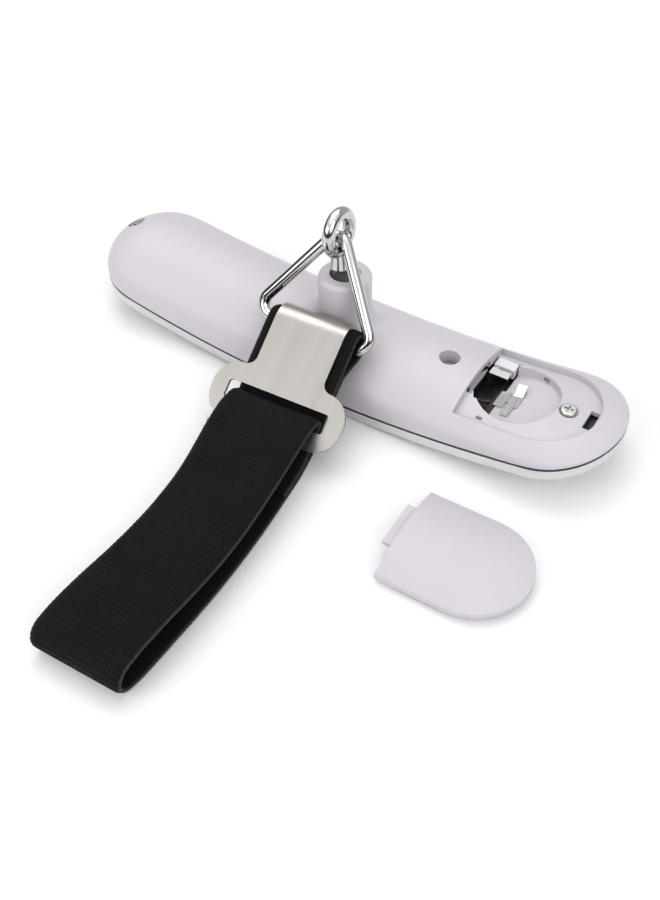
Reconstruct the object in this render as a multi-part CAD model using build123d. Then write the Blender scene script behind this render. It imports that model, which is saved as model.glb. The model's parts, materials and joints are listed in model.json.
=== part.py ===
"""Digital luggage scale, lying on its display, with its strap laid out and its battery cover off.

Millimetres. X runs along the handle towards the battery end, the strap lies towards -Y and the
lifting eye stands along +Z. The origin is the middle of the display window's outer face.
"""
import os
from math import asin, cos, degrees, radians, sin, sqrt

from build123d import *

os.makedirs("parts", exist_ok=True)

# Handle body
LENGTH = 150.0
WIDTH = 36.0
END_LENGTH = 15.6          # length of each elliptical end
BEND_RADIUS = 300.0        # radius of the seam, whose ends rise
PLATE_THICKNESS = 2.5
FRAME_THICKNESS = 0.7
WALL = 2.0
CROWN_MIDDLE = 13.0        # height of the back above the seam
CROWN_SLOPE = 3.8          # how much lower the back is at the battery end than in the middle
CROWN_DROP = 7.0           # how much lower it is at both ends
SEAM_Z = PLATE_THICKNESS + FRAME_THICKNESS
HALF = LENGTH / 2
STRAIGHT = HALF - END_LENGTH
SKIRT = 4.0                # how far the dome's sections reach below the seam before trimming
THINNEST = 0.4             # least height that a shrunk dome keeps

# Neck and eye
NECK_RADIUS = 6.75
NECK_TOP = 28.5
NECK_HOLE_RADIUS = 3.9
NECK_FLARE = 5.0           # blend radius at the neck's foot
NECK_RIM = 1.3             # rounding of its upper edge
SHANK_RADIUS = 2.4
EYE_Z = 39.5
EYE_RADIUS = 4.6
EYE_WIRE = 1.65
COLLAR_RADIUS = 2.8
COLLAR_LOW = 29.2
EYE_LEAN = 3.4             # lean of the loose eye bolt towards -X, about the load cell

# Triangular ring
RING_WIRE = 1.5
RING_APEX_Z = 38.3
RING_TILT = 32.0           # lean of the ring from the vertical, towards -Y
RING_HEIGHT = 24.0         # apex to base bar, centre to centre
RING_HALF_BASE = 18.0      # to the base corner before rounding
RING_CORNER = 3.0
RING_HALF_ANGLE = 34.2     # half the angle at the apex

# Strap and buckle
STRAP_X = -0.6             # where the strap crosses the base bar
STRAP_YAW = 3.3            # turn of the strap and buckle about the vertical there
WEB_WIDTH = 24.5
WEB_THICKNESS = 1.2
WEB_BEND = 3.2             # centre-line radius round the base bar
WEB_LAYER = 1.3            # pitch of two layers sewn together
PLATE_SLOPE = 36.0         # fall of the buckle plate towards -Y
BUCKLE_THICKNESS = 0.9
BUCKLE_OFFSET = 4.55       # plate's middle plane from the bar's axis
NARROW_WIDTH = 19.0
NARROW_LENGTH = 13.5
WIDE_WIDTH = 36.4
WIDE_LENGTH = 14.5
WIDE_CORNER = 6.4
SLOT_LENGTH = 28.0
SLOT_HEIGHT = 5.0
HOOK_ANGLE = 150.0         # how far the plate's top end curls round the bar
SEWN_START = 9.0           # down the plate, where the two layers round the bar meet
SEWN_END = 17.5
STRAP_FOOT_Y = -38.0       # where the lower layer reaches the table
STRAP_END_Y = -108.5
STRAP_END_Z = 8.7          # top of the far fold
STRAP_TOP = ((-88.0, 8.8), (-74.0, 7.9), (-50.0, 9.4))  # the upper layer's lie, as Y and Z
STRAP_LOW_Z = 0.7
LAYER_GAP = 0.1            # webbing to buckle plate in the slot
TURN_PAST_MIDDLE = 0.6     # where the strap goes down through the slot
TAIL_LENGTH = 17.0

# Battery compartment and cover
COVER_START_X = 38.5
COVER_WIDTH = 26.7
COVER_LENGTH = 30.1
COVER_THICKNESS = 1.6
COVER_GAP = 0.25
LEDGE_THICKNESS = 1.4
TAB_WIDTH = 12.0
TAB_REACH = 2.3
WELL_X = 49.6
WELL_RADIUS = 10.2
WELL_WALL = 1.4
WELL_FLOOR = 2.3           # floor thickness above the seam
OPENING = ((38.4, 10.7), (38.4, -3.0), (40.4, -7.0), (43.2, -7.2), (43.4, 2.4), (44.8, 2.8), (44.8, 10.7))
OPENING_Z = (6.2, 14.0)
LEAD_PASSAGE = (37.2, 39.2, -4.4, -1.2, 6.2, 9.4)
RIM_NOTCH = (43.4, 45.0, -11.8, -11.0, 6, 20)
WALL_NOTCH = (51.4, 53.0, 8.6, 12.6, 10.1, 11.2)
LATCH_SLOT = (66.0, 68.2, -3.2, 3.2, 10.5, 20)
COVER_REST = (42.4, -44.1) # middle of the cover's straight edge, on the table
COVER_YAW = 1.5
COVER_PITCH = 3.5

# Display, buttons and board
WINDOW_SIZE = (26.0, 16.0)
LCD_SIZE = (28.0, 16.0)
BUTTON_X = 21.5
BUTTON_RADIUS = 4.0
BUTTON_PROUD = 0.5
BOARD_LOW = 7.4
BOARD_THICKNESS = 1.0
BOARD_X = (-36.0, 26.1)
BOARD_WIDTH = 26.0
BOARD_POSTS = ((-31.0, -9.0), (-31.0, 9.0), (23.5, -10.8), (23.5, 10.8))

# Load cell
BEAM_SIZE = (34.0, 10.0, 2.4)
BEAM_LOW = 9.6
BEAM_BOLT_X = 13.0

# Case screws: x, depth of the head below the back, recess radius
CASE_SCREWS = ((-69.5, 2.2, 2.5), (30.2, 4.2, 2.65), (61.5, 0.4, 2.3))
SCREW_HEAD = 2.1
SCREW_SHANK = 1.0
NEAR = 0.1                 # gap between neighbours that do not touch


def seam_z(x):
    return SEAM_Z + BEND_RADIUS - sqrt(BEND_RADIUS**2 - x**2)


def crown(x):
    u = x / HALF
    return CROWN_MIDDLE - CROWN_SLOPE * u - CROWN_DROP * u * u


def end_factor(x):
    """1 along the straight part, falling as an ellipse to 0 at each tip."""
    past = max(0.0, abs(x) - STRAIGHT) / END_LENGTH
    return sqrt(max(0.0, 1 - past * past))


def back_z(x):
    return seam_z(x) + crown(x) * end_factor(x)


def upright(x, y, low, high, radius):
    return Pos(x, y, (low + high) / 2) * Cylinder(radius, high - low)


def block(x_low, x_high, y_low, y_high, z_low, z_high):
    size = (x_high - x_low, y_high - y_low, z_high - z_low)
    middle = ((x_low + x_high) / 2, (y_low + y_high) / 2, (z_low + z_high) / 2)
    return Pos(*middle) * Box(*size)


def seam_drum(depth=0.0):
    """Everything above the seam surface, or above a surface the given depth under it."""
    return Pos(0, 0, SEAM_Z + BEND_RADIUS) * Rot(90, 0, 0) * Cylinder(BEND_RADIUS + depth, 2 * WIDTH)


def dome(inset=0.0):
    """The back's outer form, or the same form shrunk by an inset on every side."""
    middle = [STRAIGHT * k / 5 for k in range(-5, 6)]
    end = [STRAIGHT + (END_LENGTH - inset) * sin(radians(a)) for a in (14, 28, 42, 55, 67, 77, 84, 88)]
    sections = []
    for x in [-e for e in reversed(end)] + middle + end:
        past = max(0.0, abs(x) - STRAIGHT) / (END_LENGTH - inset)
        factor = sqrt(1 - past * past)
        half_width = (WIDTH / 2 - inset) * factor
        height = max(crown(x) - inset, THINNEST) * factor
        z = seam_z(x)
        low = z - SKIRT
        outline = Polyline((x, -half_width, z), (x, -half_width, low), (x, half_width, low), (x, half_width, z))
        plane = Plane(origin=(x, 0, z), x_dir=(0, 1, 0), z_dir=(1, 0, 0))
        arc = plane * EllipticalCenterArc((0, 0), half_width, height, start_angle=0, arc_size=180)
        sections.append(make_face(Wire(outline.edges() + arc.edges())))
    return loft(sections)


def plan_prism(inset=0.0, top=20.0):
    """The handle's outline seen from above, as an upright prism from below the table."""
    outline = Rectangle(2 * STRAIGHT, WIDTH - 2 * inset)
    for side in (-1, 1):
        outline += Pos(side * STRAIGHT, 0) * Ellipse(END_LENGTH - inset, WIDTH / 2 - inset)
    return Pos(0, 0, -5) * extrude(outline, top + 5)


def cover_prism(growth=0.0):
    """The cover's D outline as an upright prism, grown or shrunk by growth."""
    half = COVER_WIDTH / 2
    round_x = COVER_START_X + COVER_LENGTH - half
    start = COVER_START_X - growth
    outline = Pos((start + round_x) / 2, 0) * Rectangle(round_x - start, 2 * (half + growth))
    outline += Pos(round_x, 0) * Ellipse(half + growth, half + growth)
    return extrude(outline, 30)


def save(shape, name):
    if not isinstance(shape, Solid) and len(shape.solids()) == 1:
        shape = shape.solids()[0]
    shape.label = name
    export_step(shape, f"parts/{name}.step")
    return shape


# ---------------------------------------------------------------- rear shell
OUTER = dome()
INNER = dome(WALL)
LEDGE = dome(COVER_THICKNESS + NEAR)
LEDGE_UNDER = dome(COVER_THICKNESS + NEAR + LEDGE_THICKNESS)
SEAM = seam_drum()
WELL_TILT = -degrees(asin(WELL_X / BEND_RADIUS))


def back_form():
    """The closed back with its neck, whose foot blends into the dome."""
    neck = upright(0, 0, SEAM_Z + 4, NECK_TOP, NECK_RADIUS)
    neck = fillet(neck.edges().group_by(Axis.Z)[-1], NECK_RIM)
    form = (OUTER & SEAM) + neck
    foot = [e for e in form.edges()
            if e.center().Z > SEAM_Z + 6 and e.center().Z < NECK_TOP - 5
            and abs(e.bounding_box().size.X - 2 * NECK_RADIUS) < 0.1]
    return fillet(foot, NECK_FLARE)


def tilted_well(radius, low, high):
    """A cylinder square to the seam under the coin well."""
    foot = Pos(WELL_X, 0, seam_z(WELL_X)) * Rot(0, WELL_TILT, 0)
    return foot * Pos(0, 0, (low + high) / 2) * Cylinder(radius, high - low)


def rear_shell():
    shell = back_form() - INNER
    # Cover seat: a ledge parallel to the back, and the cup for the coin cell
    seat = cover_prism(COVER_GAP)
    shell -= seat - LEDGE
    shell += cover_prism(1.5) & (LEDGE - LEDGE_UNDER) & SEAM
    shell += tilted_well(WELL_RADIUS + WELL_WALL, NEAR, 9) & LEDGE & SEAM
    # Neck and load-cell bosses
    boss_top = back_z(0) - 1
    for x in (-BEAM_BOLT_X, BEAM_BOLT_X):
        shell += upright(x, 0, BEAM_LOW + BEAM_SIZE[2] + 0.02, boss_top, 3.2)
        shell -= upright(x, 0, BEAM_LOW, BEAM_LOW + 4.4, 1.45)
    # Screw towers
    for x, depth, radius in CASE_SCREWS:
        floor = back_z(x) - depth
        if x == CASE_SCREWS[2][0]:
            floor = back_z(x) - COVER_THICKNESS - depth
        tower_low = seam_z(x) + 0.4
        limit = LEDGE if x == CASE_SCREWS[2][0] else OUTER
        shell += upright(x, 0, tower_low, back_z(x) + 1, radius + 1.1) & limit & SEAM
        shell -= upright(x, 0, floor, floor + 20, radius)
        shell -= upright(x, 0, tower_low - 3, floor + 1, SCREW_SHANK + NEAR)
    shell -= upright(0, 0, 0, 40, NECK_HOLE_RADIUS)
    shell -= tilted_well(WELL_RADIUS, WELL_FLOOR, 20) & cover_prism(COVER_GAP)
    # Opening to the electronics at the straight edge, tab slot, latch slot
    shell -= Pos(0, 0, OPENING_Z[0]) * extrude(Polygon(*OPENING, align=None), OPENING_Z[1] - OPENING_Z[0])
    shell -= block(COVER_START_X - 3.0, COVER_START_X + 1, -TAB_WIDTH / 2 - 0.3, TAB_WIDTH / 2 + 0.3, 11.3, 13.2)
    for cut in (LEAD_PASSAGE, RIM_NOTCH, WALL_NOTCH, LATCH_SLOT):
        shell -= block(*cut)
    return shell


# ---------------------------------------------------------------- front
def front_frame():
    ring = plan_prism(0.35) & (seam_drum(FRAME_THICKNESS - 0.02) - seam_drum(0.01))
    ring -= block(-15.2, 15.2, -9.4, 9.4, -1, 10)
    for x, y in BOARD_POSTS:
        ring += upright(x, y, seam_z(x) - 0.3, BOARD_LOW, 2.0)
        ring -= upright(x, y, seam_z(x), 12, 0.9)
    for x in (-BUTTON_X, BUTTON_X):
        ring -= upright(x, 0, -1, 10, BUTTON_RADIUS + 0.35)
    for x, _, _ in CASE_SCREWS:
        ring -= upright(x, 0, seam_z(x) - 2, seam_z(x) + 2, SCREW_SHANK + 0.03)
    return ring


def face_plate():
    depth = FRAME_THICKNESS + PLATE_THICKNESS
    plate = plan_prism() & (seam_drum(depth) - seam_drum(FRAME_THICKNESS))
    plate -= block(-WINDOW_SIZE[0] / 2 - NEAR, WINDOW_SIZE[0] / 2 + NEAR,
                   -WINDOW_SIZE[1] / 2 - NEAR, WINDOW_SIZE[1] / 2 + NEAR, -1, 10)
    for x in (-BUTTON_X, BUTTON_X):
        plate -= upright(x, 0, -1, 10, BUTTON_RADIUS + 0.3)
    return plate


def display_window():
    lens = Pos(0, 0, 1.5) * Box(*WINDOW_SIZE, 3.0)
    lens = fillet(lens.edges().filter_by(Axis.Z), 1.2)
    return lens + Pos(0, 0, 3.1) * Box(WINDOW_SIZE[0] + 3.6, WINDOW_SIZE[1] + 2.0, 0.36)


def lcd_panel():
    glass = Pos(0, 0, 3.7) * Box(*LCD_SIZE, 0.7)
    return glass + Pos(0, 0, 4.35) * Box(LCD_SIZE[0], LCD_SIZE[1] - 2.4, 0.7)


def lcd_backlight():
    return block(-13.5, 13.5, -6.6, 6.6, 4.8, 6.3) + block(13.5, 15.0, -2, 2, 4.9, 5.9)


def zebra_strips():
    return [block(-13, 13, side * 7.5 - 0.5, side * 7.5 + 0.5, 4.05, BOARD_LOW - 0.02) for side in (-1, 1)]


def button(x):
    low = seam_z(x) - SEAM_Z - BUTTON_PROUD
    flange_low = seam_z(BUTTON_X + BUTTON_RADIUS + 1) + 0.15
    cap = upright(x, 0, low, flange_low, BUTTON_RADIUS)
    cap = fillet(cap.edges().group_by(Axis.Z)[0], 0.6)
    flange = upright(x, 0, flange_low, flange_low + 0.6, BUTTON_RADIUS + 0.9)
    return cap + flange + upright(x, 0, flange_low + 0.6, flange_low + 0.8, 1.2)


def circuit_board():
    low, high = BOARD_LOW, BOARD_LOW + BOARD_THICKNESS
    board = block(*BOARD_X, -BOARD_WIDTH / 2, BOARD_WIDTH / 2, low, high)
    board = fillet(board.edges().filter_by(Axis.Z), 2.0)
    for x, y in BOARD_POSTS:
        board -= upright(x, y, 0, 20, 1.1)
    return board - upright(0, 0, 0, 20, 5.6)


def tact_switches():
    switches = []
    for x in (-BUTTON_X, BUTTON_X):
        body = block(x - 2.2, x + 2.2, -2.2, 2.2, 6.3, BOARD_LOW - 0.02)
        switches.append(body + upright(x, 0, 5.95, 6.3, 1.0))
    return switches


def chip_blob():
    top = BOARD_LOW + BOARD_THICKNESS
    blob = Pos(-24, 2, top) * Sphere(3.4)
    return blob & block(-30, -18, -4, 8, top + 0.01, top + 1.1)


# ---------------------------------------------------------------- battery contacts
def on_well_floor(shape):
    return Pos(WELL_X, 0, seam_z(WELL_X)) * Rot(0, WELL_TILT, 0) * Pos(0, 0, WELL_FLOOR) * shape


def battery_contact_negative():
    """Two strips joined by a bridge, with a flat tongue and a sprung one."""
    shape = Pos(-3.8, -0.8, 0.25) * Box(2.5, 5.6, 0.4) + Pos(-0.5, -0.5, 0.25) * Box(2.3, 4.4, 0.4)
    shape += Pos(-2.2, -0.5, 0.25) * Box(2.0, 2.0, 0.4) + Pos(-1.0, -4.2, 0.25) * Box(2.0, 4.0, 0.4)
    return on_well_floor(shape + Pos(-0.6, 2.9, 0.95) * Rot(22, 0, 0) * Box(2.3, 3.4, 0.4))


def battery_contact_positive():
    """Sprung blade that crosses the opening at the compartment's straight edge."""
    return block(39.2, 44.2, 4.0, 6.4, 11.0, 11.4) + block(39.2, 39.6, 4.0, 6.4, 8.6, 11.2)


def contact_bracket():
    """Moulded clip that carries the blade on the far side of the opening."""
    clip = block(39.0, 44.4, 7.6, 10.6, 8.8, 11.4)
    return clip + block(39.0, 40.4, 6.6, 7.8, 8.8, 10.6)


def wire(points, radius, bend):
    path = FilletPolyline(*points, radius=bend)
    start = Plane(origin=path @ 0, z_dir=path % 0)
    return sweep(start * Circle(radius), path=path)


def battery_leads():
    first = wire(((39.4, 5.2, 8.5), (39.4, 5.2, 7.6), (34.5, 8.5, 7.8), (27.0, 9.0, 8.4)), 0.45, 0.25)
    second = wire(((42.4, -2.0, 8.2), (42.4, -2.0, 7.5), (36.5, -2.8, 7.7), (27.0, -9.0, 8.4)), 0.45, 0.25)
    return [first, second]


# ---------------------------------------------------------------- load cell
def load_cell():
    length, width, thick = BEAM_SIZE
    beam = block(-length / 2, length / 2, -width / 2, width / 2, BEAM_LOW, BEAM_LOW + thick)
    beam = fillet(beam.edges().filter_by(Axis.Z), 1.5)
    for x in (-BEAM_BOLT_X, BEAM_BOLT_X):
        beam -= upright(x, 0, 0, 20, 1.6)
    for x in (-6.6, 6.6):
        beam -= Pos(x, 0, BEAM_LOW + thick / 2) * Rot(90, 0, 0) * Cylinder(0.75, 30)
    return beam - upright(0, 0, 0, 20, SHANK_RADIUS + NEAR)


def load_cell_screws():
    low = BEAM_LOW
    screws = []
    for x in (-BEAM_BOLT_X, BEAM_BOLT_X):
        head = upright(x, 0, low - 1.0, low - 0.02, 2.6)
        head -= block(x - 1.6, x + 1.6, -0.35, 0.35, low - 1.1, low - 0.5)
        screws.append(head + upright(x, 0, low - 0.02, low + 4.2, 1.4))
    return screws


def strain_gauges():
    top = BEAM_LOW + BEAM_SIZE[2]
    return [block(x - 1.9, x + 1.9, -2.2, 2.2, top + 0.01, top + 0.2) for x in (-6.6, 6.6)]


def load_cell_wires():
    wires = []
    for k, y in enumerate((-4.7, -3.9, 3.9, 4.7)):
        side = -1 if y < 0 else 1
        low = BOARD_LOW + BOARD_THICKNESS + 0.3
        points = ((-8.3, y, 12.35), (-17.6, y, 12.35), (-20.0 - k * 0.2, side * 8.0, low + 0.1))
        wires.append(wire(points, 0.28, 1.0))
    return wires


# ---------------------------------------------------------------- screws
def case_screws():
    screws = []
    for x, depth, _ in CASE_SCREWS:
        seat = back_z(x) - depth
        if x == CASE_SCREWS[2][0]:
            seat -= COVER_THICKNESS
        head = upright(x, 0, seat + 0.01, seat + 1.0, SCREW_HEAD)
        head = fillet(head.edges().group_by(Axis.Z)[-1], 0.5)
        for turn in (0, 90):
            head -= Pos(x, 0, seat + 0.9) * Rot(0, 0, turn) * Box(2.3, 0.55, 0.9)
        screws.append(head + upright(x, 0, seam_z(x) - 0.4, seat + 0.01, SCREW_SHANK))
    return screws


def board_screws():
    top = BOARD_LOW + BOARD_THICKNESS
    screws = []
    for x, y in BOARD_POSTS:
        head = upright(x, y, top + 0.01, top + 0.8, 1.7)
        head -= block(x - 1.2, x + 1.2, y - 0.25, y + 0.25, top + 0.4, top + 1)
        screws.append(head + upright(x, y, seam_z(x) + 0.4, top + 0.01, 0.85))
    return screws


# ---------------------------------------------------------------- eye and ring
def leaning(shape):
    """A part of the eye bolt, leaned about the load cell's middle."""
    pivot = BEAM_LOW + BEAM_SIZE[2] / 2
    return Pos(0, 0, pivot) * Rot(0, -EYE_LEAN, 0) * Pos(0, 0, -pivot) * shape


def eye_bolt():
    ring = Pos(0, 0, EYE_Z) * Rot(0, 90, 0) * Torus(EYE_RADIUS, EYE_WIRE)
    shank = upright(0, 0, 6.7, COLLAR_LOW + 1, SHANK_RADIUS)
    shoulder = Pos(0, 0, COLLAR_LOW + 0.6) * Cone(SHANK_RADIUS, COLLAR_RADIUS, 1.2)
    taper_top = EYE_Z - EYE_RADIUS - 0.2
    collar = Pos(0, 0, (COLLAR_LOW + 1.2 + taper_top) / 2) * Cone(
        COLLAR_RADIUS, 2.2, taper_top - COLLAR_LOW - 1.2)
    return leaning(ring + shank + shoulder + collar)


def eye_washer():
    washer = upright(0, 0, 8.8, BEAM_LOW - 0.35, 4.2)
    return leaning(washer - upright(0, 0, 0, 20, SHANK_RADIUS + 0.02))


def eye_nut():
    nut = Pos(0, 0, 6.9) * extrude(RegularPolygon(4.4, 6), 1.88)
    return leaning(nut - upright(0, 0, 0, 20, SHANK_RADIUS + 0.02))


RING_X = -(RING_APEX_Z - BEAM_LOW - BEAM_SIZE[2] / 2) * sin(radians(EYE_LEAN))


def triangle_ring():
    tilt = radians(RING_TILT)
    plane = Plane(origin=(RING_X, 0, RING_APEX_Z), x_dir=(1, 0, 0), z_dir=(0, -cos(tilt), sin(tilt)))
    rise = RING_CORNER * (1 / sin(radians(RING_HALF_ANGLE)) - 1)
    corners = Polygon((-RING_HALF_BASE, -RING_HEIGHT), (RING_HALF_BASE, -RING_HEIGHT), (0, rise), align=None)
    rounded = fillet(corners.vertices(), RING_CORNER)
    path = (plane * rounded).wires()[0]
    section = Plane(origin=path @ 0, z_dir=path % 0) * Circle(RING_WIRE)
    return sweep(section, path=path)


# ---------------------------------------------------------------- strap, drawn in the YZ plane and then turned
BAR_Y = -RING_HEIGHT * sin(radians(RING_TILT))
BAR_Z = RING_APEX_Z - RING_HEIGHT * cos(radians(RING_TILT))
BUCKLE_LENGTH = NARROW_LENGTH + WIDE_LENGTH
SLOT_MIDDLE = NARROW_LENGTH + WIDE_LENGTH / 2


def by_plate(down, out):
    """A point measured down the buckle plate from the base bar, and outwards from the bar's axis."""
    slope = radians(PLATE_SLOPE)
    y = BAR_Y - down * cos(slope) - out * sin(slope)
    z = BAR_Z - down * sin(slope) + out * cos(slope)
    return (0, y, z)


def laid_out(shape):
    """Turned about the vertical through the base bar, as the strap and buckle lie."""
    return Pos(STRAP_X, BAR_Y, 0) * Rot(0, 0, STRAP_YAW) * Pos(0, -BAR_Y, 0) * shape


def buckle_plate():
    slope = radians(PLATE_SLOPE)
    plane = Plane(origin=by_plate(0, BUCKLE_OFFSET), x_dir=(1, 0, 0), z_dir=(0, -sin(slope), cos(slope)))
    narrow = Pos(0, -NARROW_LENGTH / 2) * Rectangle(NARROW_WIDTH, NARROW_LENGTH + 0.2)
    wide = Pos(0, -NARROW_LENGTH - WIDE_LENGTH / 2) * Rectangle(WIDE_WIDTH, WIDE_LENGTH)
    wide = fillet(wide.vertices(), WIDE_CORNER)
    slot = Pos(0, -SLOT_MIDDLE) * RectangleRounded(SLOT_LENGTH, SLOT_HEIGHT, 1.0)
    flat = extrude(narrow + wide, BUCKLE_THICKNESS / 2, both=True)
    inner = [e for e in flat.edges().filter_by(Axis.Z)
             if abs(e.center().Y + NARROW_LENGTH) < 0.2 and abs(e.center().X) < NARROW_WIDTH / 2 + 0.1]
    flat = fillet(inner, 2.5) - extrude(slot, BUCKLE_THICKNESS, both=True)
    # The curl: a sector of a tube round the bar, from the plate over the top
    axis = Plane(origin=(-NARROW_WIDTH / 2, BAR_Y, BAR_Z), x_dir=(0, -sin(slope), cos(slope)), z_dir=(1, 0, 0))
    outer = BUCKLE_OFFSET + BUCKLE_THICKNESS / 2
    reach = 3 * outer
    end = (reach * cos(radians(HOOK_ANGLE)), -reach * sin(radians(HOOK_ANGLE)))
    sector = Polygon((0, 0), (reach, 0), (reach, -reach), (-reach, -reach), end, align=None)
    curl = extrude(axis * ((Circle(outer) - Circle(outer - BUCKLE_THICKNESS)) & sector), NARROW_WIDTH)
    return laid_out(plane * flat + curl)


def strap_webbing():
    gap = (BUCKLE_THICKNESS + WEB_THICKNESS) / 2 + LAYER_GAP
    under = BUCKLE_OFFSET - gap
    sewn = WEB_BEND - WEB_LAYER
    turn_down = SLOT_MIDDLE + TURN_PAST_MIDDLE
    points = (
        by_plate(SEWN_END, WEB_BEND),
        by_plate(-WEB_BEND - 0.001, WEB_BEND),
        by_plate(-WEB_BEND - 0.001, -WEB_BEND),
        by_plate(1.0, -WEB_BEND),
        by_plate(SEWN_START, sewn),
        by_plate(SEWN_END, sewn),
        (0, STRAP_FOOT_Y, STRAP_LOW_Z),
        (0, STRAP_END_Y, STRAP_LOW_Z),
        (0, STRAP_END_Y, STRAP_END_Z),
        *[(0, y, z) for y, z in STRAP_TOP],
        by_plate(turn_down, BUCKLE_OFFSET + gap),
        by_plate(turn_down, under),
        by_plate(BUCKLE_LENGTH + 1.5, under),
        (0, by_plate(BUCKLE_LENGTH, under)[1] - TAIL_LENGTH + 4, STRAP_LOW_Z + WEB_LAYER + 0.2),
    )
    bar_bend = WEB_BEND - 0.1
    radii = (bar_bend, bar_bend, 3.0, 3.0, 12.0, 5.0, 3.3, 3.3, 60.0, 60.0, 60.0, 1.0, gap - 0.1, 4.0)
    path = FilletPolyline(*points, radius=radii)
    pieces = []
    for edge in path.edges():
        start = Plane(origin=edge @ 0, x_dir=(1, 0, 0), z_dir=edge % 0)
        pieces.append(sweep(start * Rectangle(WEB_WIDTH, WEB_THICKNESS), path=Wire([edge])))
    return laid_out(Part() + pieces)


# ---------------------------------------------------------------- cover
def battery_cover():
    skin = cover_prism(-0.05) & SEAM & (OUTER - dome(COVER_THICKNESS))
    tab_z = back_z(COVER_START_X) - COVER_THICKNESS - 0.2
    tab = block(COVER_START_X - TAB_REACH, COVER_START_X + 3.5, -TAB_WIDTH / 2, TAB_WIDTH / 2, tab_z - 0.6, tab_z + 0.6)
    hook_x = COVER_START_X + COVER_LENGTH - 2.2
    hook = block(hook_x - 0.9, hook_x, -2.6, 2.6, back_z(hook_x) - 3.4, back_z(hook_x) - 1.2)
    closed = skin + tab + hook
    loose = Pos(*COVER_REST, 0) * Rot(0, 0, COVER_YAW) * Rot(0, COVER_PITCH, 0) * Pos(-COVER_START_X, 0, 0) * closed
    return Pos(0, 0, 0.02 - loose.bounding_box().min.Z) * loose


def main():
    single = (rear_shell, front_frame, face_plate, display_window, lcd_panel, lcd_backlight, circuit_board,
              chip_blob, battery_contact_negative, battery_contact_positive, contact_bracket, load_cell,
              eye_bolt, eye_washer, eye_nut, triangle_ring, buckle_plate, strap_webbing, battery_cover)
    groups = (zebra_strips, tact_switches, battery_leads, load_cell_screws, strain_gauges, load_cell_wires,
              case_screws, board_screws)
    for make in single:
        save(make(), make.__name__)
    for make in groups:
        save(Compound(children=list(make())), make.__name__)
    save(button(-BUTTON_X), "power_button")
    save(button(BUTTON_X), "unit_button")


main()
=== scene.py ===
"""Digital luggage scale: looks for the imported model. Metres, in the model's own frame."""
import json
import math
import random

import bmesh
import bpy
from mathutils import Matrix, Vector


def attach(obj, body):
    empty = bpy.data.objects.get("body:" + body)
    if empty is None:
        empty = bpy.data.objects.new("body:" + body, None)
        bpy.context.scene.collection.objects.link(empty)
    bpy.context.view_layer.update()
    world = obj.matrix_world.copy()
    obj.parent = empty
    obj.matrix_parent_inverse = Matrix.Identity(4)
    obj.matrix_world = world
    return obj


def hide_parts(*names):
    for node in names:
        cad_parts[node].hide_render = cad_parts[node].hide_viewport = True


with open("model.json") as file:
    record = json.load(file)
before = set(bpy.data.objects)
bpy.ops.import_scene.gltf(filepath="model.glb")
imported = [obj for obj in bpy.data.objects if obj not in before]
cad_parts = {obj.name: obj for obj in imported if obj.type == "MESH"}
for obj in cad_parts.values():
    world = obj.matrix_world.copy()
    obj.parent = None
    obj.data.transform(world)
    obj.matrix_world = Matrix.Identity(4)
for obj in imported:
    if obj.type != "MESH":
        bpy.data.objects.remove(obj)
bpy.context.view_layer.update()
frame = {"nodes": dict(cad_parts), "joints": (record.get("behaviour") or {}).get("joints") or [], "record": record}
nodes = frame["nodes"]
MM = 0.001


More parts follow.
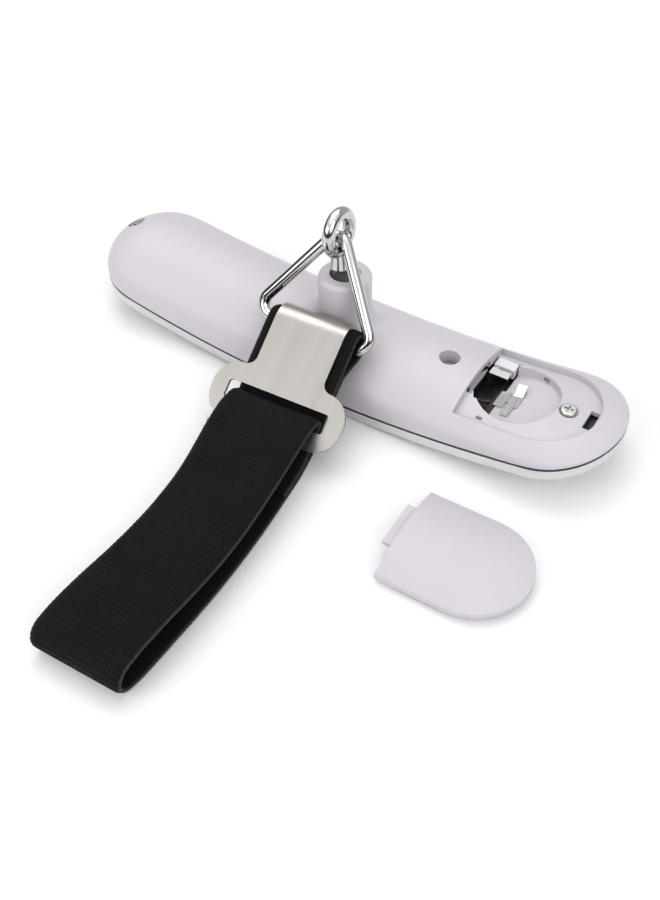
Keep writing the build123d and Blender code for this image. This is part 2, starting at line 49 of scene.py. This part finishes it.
# ------------------------------------------------------------------ material helpers
class Graph:
    """A node material with short calls for the nodes that this scene needs."""

    def __init__(self, name, color, roughness, metallic=0.0):
        self.material = bpy.data.materials.new(name)
        self.material.use_nodes = True
        self.tree = self.material.node_tree
        self.shader = self.tree.nodes["Principled BSDF"]
        self.shader.inputs["Base Color"].default_value = (*color, 1)
        self.shader.inputs["Roughness"].default_value = roughness
        self.shader.inputs["Metallic"].default_value = metallic
        self.bumps = None

    def node(self, kind, **inputs):
        made = self.tree.nodes.new(kind)
        for key, value in inputs.items():
            name = key.replace("_", " ")
            if name in made.inputs:
                made.inputs[name].default_value = value
            else:
                setattr(made, key, value)
        return made

    def link(self, source, target):
        self.tree.links.new(source, target)

    def place(self, scale, kind="Object"):
        coordinates = self.node("ShaderNodeTexCoord")
        mapping = self.node("ShaderNodeMapping")
        mapping.inputs["Scale"].default_value = scale
        self.link(coordinates.outputs[kind], mapping.inputs["Vector"])
        return mapping.outputs["Vector"]

    def noise(self, scale, detail=4.0, roughness=0.55, stretch=(1, 1, 1), kind="Object"):
        made = self.node("ShaderNodeTexNoise", Scale=scale, Detail=detail, Roughness=roughness)
        self.link(self.place(stretch, kind), made.inputs["Vector"])
        return made.outputs["Fac"]

    def ramp(self, value, low, high, start=0.3, end=0.7):
        made = self.node("ShaderNodeMapRange")
        made.inputs["From Min"].default_value = start
        made.inputs["From Max"].default_value = end
        made.inputs["To Min"].default_value = low
        made.inputs["To Max"].default_value = high
        self.link(value, made.inputs["Value"])
        return made.outputs["Result"]

    def mix(self, value, first, second):
        """One plain colour where the value is 0 and another where it is 1."""
        made = self.node("ShaderNodeMix", data_type="RGBA")
        for socket, color in zip((s for s in made.inputs if s.type == "RGBA"), (first, second)):
            socket.default_value = (*color, 1)
        self.link(value, made.inputs[0])
        return next(s for s in made.outputs if s.type == "RGBA")

    def blend(self, value, under, over):
        """The colour of one socket, covered by a plain colour where the value is 1."""
        made = self.node("ShaderNodeMix", data_type="RGBA")
        first, second = (s for s in made.inputs if s.type == "RGBA")
        self.link(under, first)
        second.default_value = (*over, 1)
        self.link(value, made.inputs[0])
        return next(s for s in made.outputs if s.type == "RGBA")

    def maths(self, operation, first, second):
        made = self.node("ShaderNodeMath", operation=operation)
        for socket, value in zip(made.inputs, (first, second)):
            if isinstance(value, (int, float)):
                socket.default_value = value
            else:
                self.link(value, socket)
        return made.outputs[0]

    def within(self, low, high):
        """1 inside the box between two corners, 0 outside."""
        split = self.node("ShaderNodeSeparateXYZ")
        self.link(self.place((1, 1, 1)), split.inputs["Vector"])
        inside = 1.0
        for socket, bottom, top in zip(split.outputs, low, high):
            span = self.maths("MULTIPLY", self.maths("GREATER_THAN", socket, bottom),
                              self.maths("LESS_THAN", socket, top))
            inside = self.maths("MULTIPLY", inside, span)
        return inside

    def bump(self, height, strength, distance):
        made = self.node("ShaderNodeBump", Strength=strength, Distance=distance)
        self.link(height, made.inputs["Height"])
        if self.bumps is not None:
            self.link(self.bumps, made.inputs["Normal"])
        self.bumps = made.outputs["Normal"]
        self.link(self.bumps, self.shader.inputs["Normal"])

    def color(self, socket):
        self.link(socket, self.shader.inputs["Base Color"])

    def rough(self, socket):
        self.link(socket, self.shader.inputs["Roughness"])


def moulded_white(name, tint, shaded_hollow=None):
    """Satin ABS: faint mottle and a very fine grain. Faces inside the optional box get near-black painted shade.
    """
    g = Graph(name, tint, 0.42)
    deeper = tuple(c * 0.965 for c in tint)
    shade = g.mix(g.ramp(g.noise(55, 5), 0, 1), tint, deeper)
    # Near-black inside the box is painted shade in the recess, not the plastic's own colour
    g.color(g.blend(g.within(*shaded_hollow), shade, (0.006, 0.006, 0.006)) if shaded_hollow else shade)
    g.rough(g.ramp(g.noise(160, 6, stretch=(1, 1.4, 1)), 0.36, 0.5))
    g.bump(g.noise(2600, 2), 0.10, 0.00006)
    g.bump(g.noise(140, 3), 0.12, 0.00015)
    g.shader.inputs["Subsurface Weight"].default_value = 0.08
    g.shader.inputs["Subsurface Radius"].default_value = (0.0012, 0.0010, 0.0009)
    g.shader.inputs["Specular IOR Level"].default_value = 0.45
    return g.material


def brushed(name, color, roughness, direction, grain=900, streak=0.12):
    """Sheet metal with a fine grain drawn out along one direction."""
    g = Graph(name, color, roughness, 1.0)
    stretch = tuple(0.03 if d else 1.0 for d in direction)
    fine = g.noise(grain, 6, 0.7, stretch)
    g.rough(g.ramp(fine, roughness - 0.06, roughness + 0.10))
    darker = tuple(c * (1 - streak) for c in color)
    g.color(g.mix(g.ramp(g.noise(grain / 3, 5, 0.6, stretch), 0, 1), color, darker))
    g.bump(fine, 0.18, 0.00004)
    g.bump(g.noise(90, 3), 0.08, 0.0002)
    return g.material


def plated(name, color=(0.60, 0.59, 0.58), roughness=0.09):
    """Bright plating with light orange-peel and hairline scratches."""
    g = Graph(name, color, roughness, 1.0)
    g.rough(g.ramp(g.noise(420, 6, 0.7), roughness - 0.04, roughness + 0.09))
    g.bump(g.noise(520, 3), 0.06, 0.00006)
    g.bump(g.noise(1800, 4, 0.7, (1, 0.08, 0.3)), 0.05, 0.00002)
    return g.material


def moulded_dark(name, color, roughness=0.45):
    g = Graph(name, color, roughness)
    g.color(g.mix(g.ramp(g.noise(300, 4), 0, 1), color, tuple(min(1, c * 1.5 + 0.004) for c in color)))
    g.rough(g.ramp(g.noise(500, 4), roughness - 0.08, roughness + 0.1))
    g.bump(g.noise(2400, 2), 0.15, 0.00005)
    return g.material


def polished_lens(name, color):
    g = Graph(name, color, 0.06)
    g.rough(g.ramp(g.noise(300, 5), 0.04, 0.14))
    g.bump(g.noise(60, 2), 0.02, 0.0002)
    g.shader.inputs["Coat Weight"].default_value = 0.6
    return g.material


def woven(name, color, half_width, sheen=0.03):
    """Black ribbed webbing; the ribs are in the mesh, this adds the yarns across each rib."""
    g = Graph(name, color, 0.72)
    yarn = g.node("ShaderNodeTexWave", wave_type="BANDS", bands_direction="X", wave_profile="SIN")
    yarn.inputs["Scale"].default_value = 1.0
    yarn.inputs["Distortion"].default_value = 1.2
    yarn.inputs["Detail"].default_value = 2.0
    yarn.inputs["Detail Scale"].default_value = 3.0
    g.link(g.place((560, 90, 1), "UV"), yarn.inputs["Vector"])
    fibres = g.noise(1.0, 5, 0.7, (5200, 1500, 1), "UV")
    g.bump(yarn.outputs["Fac"], 0.75, 0.00022)
    g.bump(fibres, 0.5, 0.00014)
    lighter = tuple(c * 2.0 + 0.002 for c in color)
    yarns = g.mix(g.ramp(fibres, 0, 1, 0.35, 0.8), color, lighter)
    # Painted highlight: a paler line along both edges, where light catches the edge threads
    split = g.node("ShaderNodeSeparateXYZ")
    g.link(g.place((1, 1, 1), "UV"), split.inputs["Vector"])
    off = g.maths("ABSOLUTE", g.maths("SUBTRACT", split.outputs["X"], half_width), 0.0)
    g.color(g.blend(g.ramp(off, 0, 1, half_width * 0.965, half_width * 0.995), yarns, (0.035, 0.035, 0.037)))
    g.rough(g.ramp(g.noise(120, 4), 0.62, 0.82))
    g.shader.inputs["Sheen Weight"].default_value = sheen
    g.shader.inputs["Sheen Roughness"].default_value = 0.45
    g.shader.inputs["Sheen Tint"].default_value = (0.75, 0.76, 0.80, 1)
    g.shader.inputs["Specular IOR Level"].default_value = 0.13
    return g.material


WHITE = (0.595, 0.565, 0.60)
# The battery opening's inner shell faces inside this box are painted near-black: painted shade in the recess
SHADED_BATTERY_OPENING = ((0.0374, -0.0075, 0.004), (0.0449, 0.0109, 0.0104))
looks = {
    "shell_white": moulded_white("shell_white_look", WHITE, SHADED_BATTERY_OPENING),
    "cover_white": moulded_white("cover_white_look", WHITE),
    "frame_black": moulded_dark("frame_black_look", (0.018, 0.018, 0.02)),
    "plate_silver": brushed("plate_silver_look", (0.72, 0.72, 0.71), 0.34, (1, 0, 0), 700),
    "window_clear": polished_lens("window_look", (0.03, 0.034, 0.038)),
    "lcd_glass": polished_lens("lcd_look", (0.30, 0.34, 0.30)),
    "backlight_white": moulded_dark("backlight_look", (0.75, 0.78, 0.80), 0.6),
    "strip_rubber": moulded_dark("strip_look", (0.35, 0.28, 0.30), 0.7),
    "board_green": moulded_dark("board_look", (0.02, 0.13, 0.05), 0.35),
    "screw_steel": brushed("screw_look", (0.55, 0.54, 0.52), 0.28, (0, 0, 1), 1500),
    "contact_nickel": brushed("contact_look", (0.60, 0.585, 0.56), 0.25, (0, 1, 0), 1500),
    "bracket_white": moulded_white("bracket_look", (0.74, 0.74, 0.74)),
    # The leads' near-black is painted shade: they sit in the shaded battery opening and are darkened to match it
    "lead_black": moulded_dark("lead_shade_look", (0.022, 0.012, 0.012), 0.5),
    "beam_aluminium": brushed("beam_look", (0.74, 0.75, 0.77), 0.32, (1, 0, 0), 900),
    "gauge_amber": polished_lens("gauge_look", (0.45, 0.22, 0.04)),
    "chrome_steel": plated("chrome_look"),
    "buckle_steel": brushed("buckle_look", (0.435, 0.414, 0.388), 0.33, (0, 1, 1), 520, 0.05),
    "button_grey": moulded_dark("button_look", (0.14, 0.14, 0.15), 0.6),
    "webbing_black": woven("webbing_look", (0.0030, 0.0030, 0.0031), 12.25 * MM),
}

slot_of = {row["node"]: row["material_slot"] for row in frame["record"]["subparts"]}
for name, node in nodes.items():
    node.data.materials.clear()
    node.data.materials.append(looks[slot_of[name]])


# ------------------------------------------------------------------ strap
joint_of = {joint["name"]: joint for joint in frame["joints"]}
BAR = Vector(joint_of["strap_swing"]["pos_m"])
STRAP_X = -0.6 * MM
STRAP_YAW = math.radians(3.3)
WEB_WIDTH = 24.5 * MM
WEB_THICK = 1.2 * MM
WEB_BEND = 3.2
SEWN = 1.87                  # second layer under the buckle, out from the bar's axis
PULLED_IN = 2.0 * MM         # the loop's free edge is drawn in by the weave
BOW = 2.0 * MM
CUP = 0.25 * MM
RIB_PITCH = 1.05 * MM
RIB_HEIGHT = 0.21 * MM
ROWS_PER_RIB = 5
PLATE_SLOPE = math.radians(36.0)
BUCKLE_OUT = 4.55
COLUMNS = 25                 # points across the webbing
RIM_START = 0.9              # share of the half width where the edge starts to thin
RIM_THINNING = 0.55
EDGE_WAVER = 0.002
CUP_TURN = 0.0105            # how fast the cupping changes from row to row
THREADS = 9
THREAD_RADIUS = 0.09 * MM
THREAD_SEGMENTS = 4


def by_plate(down, out):
    """A point in millimetres down the buckle plate from the bar, and out from the bar's axis."""
    y = BAR.y - down * MM * math.cos(PLATE_SLOPE) - out * MM * math.sin(PLATE_SLOPE)
    z = BAR.z - down * MM * math.sin(PLATE_SLOPE) + out * MM * math.cos(PLATE_SLOPE)
    return Vector((0, y, z))


def smooth_line(points, step):
    """Centripetal Catmull-Rom through the points, resampled at an even step."""
    ends = [points[0] * 2 - points[1]] + points + [points[-1] * 2 - points[-2]]
    dense = []
    for a, b, c, d in zip(ends, ends[1:], ends[2:], ends[3:]):
        t = [0.0]
        for p, q in ((a, b), (b, c), (c, d)):
            t.append(t[-1] + max(1e-6, (q - p).length) ** 0.5)
        for k in range(24):
            u = t[1] + (t[2] - t[1]) * k / 24
            a1 = a * ((t[1] - u) / t[1]) + b * (u / t[1])
            a2 = b * ((t[2] - u) / (t[2] - t[1])) + c * ((u - t[1]) / (t[2] - t[1]))
            a3 = c * ((t[3] - u) / (t[3] - t[2])) + d * ((u - t[2]) / (t[3] - t[2]))
            b1 = a1 * ((t[2] - u) / t[2]) + a2 * (u / t[2])
            b2 = a2 * ((t[3] - u) / (t[3] - t[1])) + a3 * ((u - t[1]) / (t[3] - t[1]))
            dense.append(b1 * ((t[2] - u) / (t[2] - t[1])) + b2 * ((u - t[1]) / (t[2] - t[1])))
    dense.append(points[-1])
    out = [dense[0]]
    carry = 0.0
    for p, q in zip(dense, dense[1:]):
        length = (q - p).length
        at = step - carry
        while at <= length:
            out.append(p.lerp(q, at / length))
            at += step
        carry = length - (at - step)
    return out


def arc_points(centre, radius, start, sweep, count):
    """Points on an arc in the YZ plane; angles in degrees from +Y towards +Z."""
    out = []
    for k in range(count + 1):
        a = math.radians(start + sweep * k / count)
        out.append(centre + Vector((0, math.cos(a), math.sin(a))) * radius)
    return out


def strap_route():
    """Centre line of the webbing: round the bar, under the buckle, out, back and through the slot."""
    slope = math.degrees(PLATE_SLOPE)
    under = BUCKLE_OUT - 1.15
    route = [by_plate(17.3, WEB_BEND), by_plate(9, WEB_BEND), by_plate(3, WEB_BEND)]
    route += arc_points(BAR, WEB_BEND * MM, 90 + slope, -180, 8)
    route = [Vector((0, p.y, p.z)) for p in route]
    route += [by_plate(1.6, -2.9), by_plate(5, -0.6), by_plate(8.4, 1.6)]
    route += [by_plate(11, SEWN), by_plate(17.5, SEWN)]
    lower = [(-33.0, 4.9), (-36.6, 1.9), (-40.5, 0.9), (-55, 0.9), (-75, 0.9), (-92, 0.9), (-104.3, 0.9),
             (-107.3, 1.9), (-108.5, 4.3), (-107.2, 6.9), (-103.0, 8.3), (-94.5, 8.8), (-84.0, 8.2),
             (-72.0, 7.9), (-60.0, 8.6), (-50.0, 9.3), (-41.5, 9.8), (-36.0, 10.1), (-33.3, 9.95),
             (-31.95, 9.3), (-32.0, 8.5)]
    route += [Vector((0, y * MM, z * MM)) for y, z in lower]
    route += [by_plate(22.7, under), by_plate(26, under), by_plate(29.5, under)]
    return route + [Vector((0, y * MM, z * MM)) for y, z in ((-41.5, 2.45), (-45.5, 2.2), (-50.4, 2.25))]


def along_loop(y):
    """0 at the buckle end of the loop, 1 at its far fold."""
    return min(1.0, max(0.0, (-38 * MM - y) / (68 * MM)))


def pulled_in(y):
    t = min(1.0, along_loop(y) * 2.6)
    return PULLED_IN * t * t * (3 - 2 * t)


def bow(y):
    return BOW * math.sin(math.pi * along_loop(y))


def fray(mesh, rng):
    """Short loose threads on the upper layer's edge, near the buckle."""
    for _ in range(THREADS):
        y = rng.uniform(-46.0, -43.6) * MM
        edge = -WEB_WIDTH / 2 + pulled_in(y) + bow(y)
        foot = Vector((edge + rng.uniform(0.1, 0.5) * MM, y, rng.uniform(9.3, 9.8) * MM))
        lean = Vector((rng.uniform(-1.0, -0.3), rng.uniform(-0.9, 0.9), rng.uniform(-0.1, 0.7))).normalized()
        length = rng.uniform(0.8, 2.0) * MM
        rings = []
        for k in range(THREAD_SEGMENTS + 1):
            t = k / THREAD_SEGMENTS
            middle = foot + lean * (length * t) + Vector((0, 0.35 * MM, -0.4 * MM)) * t * t
            radius = THREAD_RADIUS * (1 - 0.6 * t)
            rings.append([mesh.verts.new(middle + Vector((0, math.cos(a), math.sin(a))) * radius)
                          for a in (0.0, 2.1, 4.2)])
        for one, two in zip(rings, rings[1:]):
            for k in range(3):
                mesh.faces.new((one[k], one[(k + 1) % 3], two[(k + 1) % 3], two[k])).smooth = True
        mesh.faces.new(rings[0][::-1])
        mesh.faces.new(rings[-1])


def make_strap():
    line = smooth_line(strap_route(), RIB_PITCH / ROWS_PER_RIB)
    rng = random.Random(7)
    edge_noise = [rng.uniform(-1, 1) for _ in range(len(line))]
    mesh = bmesh.new()
    uv = mesh.loops.layers.uv.new("UVMap")
    grid = {}
    for i, p in enumerate(line):
        ahead = line[min(i + 1, len(line) - 1)] - line[max(i - 1, 0)]
        ahead.normalize()
        out = Vector((0, -ahead.z, ahead.y))
        rib = 0.5 + 0.5 * math.cos(2 * math.pi * i / ROWS_PER_RIB)
        for j in range(COLUMNS):
            u = 2 * j / (COLUMNS - 1) - 1
            rim = 1 - max(0.0, (abs(u) - RIM_START) / (1 - RIM_START)) ** 2 * RIM_THINNING
            half = WEB_THICK / 2 * rim + RIB_HEIGHT * rib * rim
            across = u * WEB_WIDTH / 2 * (1 + EDGE_WAVER * edge_noise[i] * (abs(u) > 0.95))
            across += pulled_in(p.y) * (1 - u) / 2 + bow(p.y)
            raised = min(1.0, max(0.0, (p.z - 3 * MM) / (3 * MM)))
            cup = CUP * (1 - u * u) * math.sin(i * CUP_TURN) * raised
            middle = Vector((across, p.y, p.z)) + out * cup
            for side in (1, -1):
                grid[i, j, side] = mesh.verts.new(middle + out * (half * side))
    last = len(line) - 1

    def face(keys):
        made = mesh.faces.new([grid[k] for k in keys])
        made.smooth = True
        for loop, (i, j, _) in zip(made.loops, keys):
            loop[uv].uv = (j / (COLUMNS - 1) * WEB_WIDTH, i * RIB_PITCH / ROWS_PER_RIB)

    for i in range(last):
        for j in range(COLUMNS - 1):
            face([(i, j, 1), (i, j + 1, 1), (i + 1, j + 1, 1), (i + 1, j, 1)])
            face([(i + 1, j, -1), (i + 1, j + 1, -1), (i, j + 1, -1), (i, j, -1)])
        for j, turn in ((0, 1), (COLUMNS - 1, -1)):
            keys = [(i, j, 1), (i + 1, j, 1), (i + 1, j, -1), (i, j, -1)]
            face(keys if turn == 1 else keys[::-1])
    for j in range(COLUMNS - 1):
        face([(0, j, -1), (0, j + 1, -1), (0, j + 1, 1), (0, j, 1)])
        face([(last, j, 1), (last, j + 1, 1), (last, j + 1, -1), (last, j, -1)])
    fray(mesh, rng)
    bmesh.ops.recalc_face_normals(mesh, faces=mesh.faces)
    at_bar = Matrix.Translation((STRAP_X, BAR.y, 0))
    mesh.transform(at_bar @ Matrix.Rotation(STRAP_YAW, 4, "Z") @ Matrix.Translation((0, -BAR.y, 0)))
    data = bpy.data.meshes.new("strap")
    mesh.to_mesh(data)
    mesh.free()
    strap = bpy.data.objects.new("strap", data)
    bpy.context.collection.objects.link(strap)
    data.materials.append(looks["webbing_black"])
    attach(strap, "strap")
    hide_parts("strap_webbing")
    return strap


strap = make_strap()


# ------------------------------------------------------------------ floor, light, camera
def floor():
    """Pale sweep: a flat table that curves up far behind the object."""
    mesh = bmesh.new()
    half = 3.0
    profile = [(-half, 0.0), (1.2, 0.0)]
    for a in range(15, 91, 15):
        turn = math.radians(a)
        profile.append((1.2 + 0.8 * math.sin(turn), 0.8 - 0.8 * math.cos(turn)))
    profile.append((2.0, 2.6))
    rows = [[mesh.verts.new((x, y, z)) for x in (-half, half)] for y, z in profile]
    for a, b in zip(rows, rows[1:]):
        mesh.faces.new((a[0], a[1], b[1], b[0])).smooth = True
    data = bpy.data.meshes.new("floor")
    mesh.to_mesh(data)
    mesh.free()
    made = bpy.data.objects.new("floor", data)
    made.location.z = -0.00002
    bpy.context.collection.objects.link(made)
    g = Graph("floor_look", (0.93, 0.93, 0.935), 0.7)
    g.color(g.mix(g.ramp(g.noise(3, 3), 0, 1), (0.93, 0.93, 0.935), (0.915, 0.915, 0.92)))
    data.materials.append(g.material)


def area_light(name, place, target, size, power, color=(1, 1, 1)):
    data = bpy.data.lights.new(name, "AREA")
    data.shape = "RECTANGLE"
    data.size, data.size_y = size
    data.energy = power
    data.color = color
    made = bpy.data.objects.new(name, data)
    made.location = place
    made.rotation_euler = (Vector(target) - Vector(place)).to_track_quat("-Z", "Y").to_euler()
    bpy.context.collection.objects.link(made)


def studio():
    aim = (0.01, -0.03, 0.01)
    area_light("key", (-0.25, 0.30, 0.75), aim, (0.7, 0.5), 2.3)
    area_light("fill", (0.70, -0.35, 0.55), aim, (0.6, 0.6), 2.5)
    area_light("front", (-0.35, -0.75, 0.5), aim, (0.8, 0.4), 2.6)
    area_light("top", (0.0, 0.0, 1.1), aim, (1.2, 1.2), 2.8)
    world = bpy.data.worlds.new("studio")
    world.use_nodes = True
    tree = world.node_tree
    plain = tree.nodes["Background"]
    plain.inputs["Color"].default_value = (0.97, 0.97, 1.0, 1)
    plain.inputs["Strength"].default_value = 0.52
    # Bright metal sees a dark band round the horizon and a soft box overhead
    seen = tree.nodes.new("ShaderNodeBackground")
    way = tree.nodes.new("ShaderNodeTexCoord")
    split = tree.nodes.new("ShaderNodeSeparateXYZ")
    ramp = tree.nodes.new("ShaderNodeValToRGB")
    ramp.color_ramp.elements[0].position = 0.30
    ramp.color_ramp.elements[0].color = (0.035, 0.035, 0.037, 1)
    ramp.color_ramp.elements[1].position = 0.62
    ramp.color_ramp.elements[1].color = (0.95, 0.95, 0.96, 1)
    pick = tree.nodes.new("ShaderNodeMixShader")
    rays = tree.nodes.new("ShaderNodeLightPath")
    tree.links.new(way.outputs["Generated"], split.inputs["Vector"])
    tree.links.new(split.outputs["Z"], ramp.inputs["Fac"])
    tree.links.new(ramp.outputs["Color"], seen.inputs["Color"])
    tree.links.new(rays.outputs["Is Glossy Ray"], pick.inputs["Fac"])
    tree.links.new(plain.outputs["Background"], pick.inputs[1])
    tree.links.new(seen.outputs["Background"], pick.inputs[2])
    tree.links.new(pick.outputs["Shader"], tree.nodes["World Output"].inputs["Surface"])
    bpy.context.scene.world = world
    bpy.context.scene.view_settings.view_transform = "Standard"


# Camera: direction as azimuth and elevation of the eye, distance to a point on the table
AZIMUTH = math.radians(33.62)
ELEVATION = math.radians(46.55)
ROLL = math.radians(-1.0)
DISTANCE = 0.226
TARGET = Vector((0.0145, -0.0299, 0))
FOCAL_OVER_HEIGHT = 1.0303


def camera():
    back = Vector((math.sin(AZIMUTH) * math.cos(ELEVATION), -math.cos(AZIMUTH) * math.cos(ELEVATION),
                   math.sin(ELEVATION)))
    level = Vector((math.cos(AZIMUTH), math.sin(AZIMUTH), 0))
    up = back.cross(level)
    right = level * math.cos(ROLL) + up * math.sin(ROLL)
    up = up * math.cos(ROLL) - level * math.sin(ROLL)
    data = bpy.data.cameras.new("camera")
    data.sensor_width = 36
    data.lens = 36 * FOCAL_OVER_HEIGHT
    data.clip_start = 0.01
    made = bpy.data.objects.new("camera", data)
    turn = Matrix((right, up, back)).transposed().to_4x4()
    made.matrix_world = Matrix.Translation(TARGET + back * DISTANCE) @ turn
    bpy.context.collection.objects.link(made)
    bpy.context.scene.camera = made


floor()
studio()
camera()
